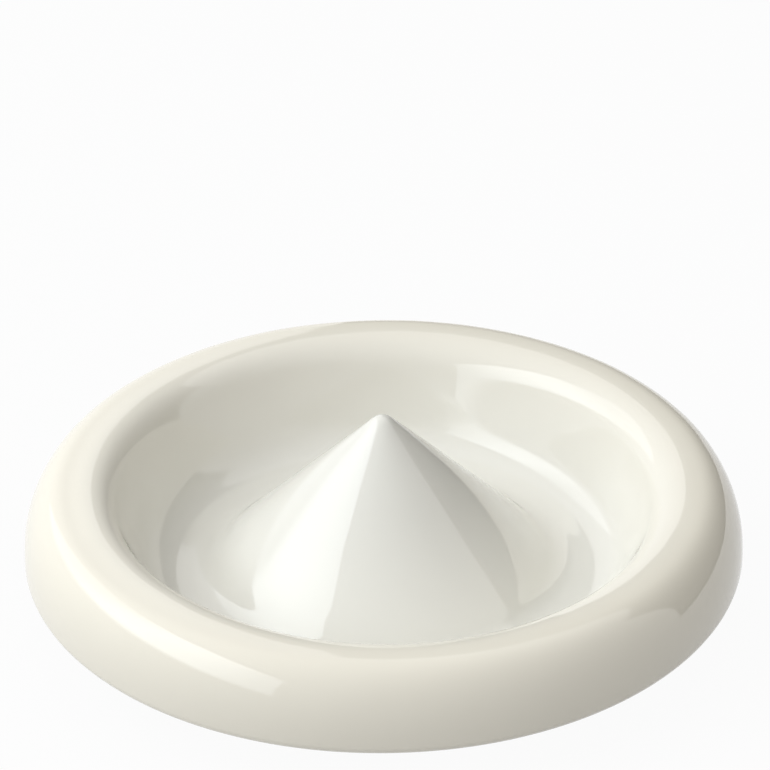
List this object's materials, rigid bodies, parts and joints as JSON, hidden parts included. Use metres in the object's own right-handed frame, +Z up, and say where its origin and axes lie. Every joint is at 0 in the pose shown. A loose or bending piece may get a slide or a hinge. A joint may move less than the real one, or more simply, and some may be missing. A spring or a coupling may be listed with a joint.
{
  "type": "soap dish",
  "caption": "Round glazed ceramic soap dish with a thick rolled rim, a deep ring-shaped channel and a pointed cone in the middle that keeps the soap out of the water.",
  "frame": {"origin": "on the table, straight below the tip of the cone, at the centre of the circle of pads", "axes": "+Z up along the axis that the dish is turned about; the vent plugs lie on the Y axis and the pads at 45 degrees between the axes"},
  "size_m": [0.14, 0.14, 0.0404],
  "materials": {
    "ivory_glaze": "high-gloss off-white glaze over white clay, bare clay on the foot ring's underside",
    "clear_silicone": "satin, milky clear silicone",
    "white_silicone": "matte white silicone"
  },
  "bodies": {
    "root": {"dish_body": "ivory_glaze", "pad_1": "clear_silicone", "pad_2": "clear_silicone", "pad_3": "clear_silicone", "pad_4": "clear_silicone", "vent_plug_1": "white_silicone", "vent_plug_2": "white_silicone"}
  },
  "joints": []
}
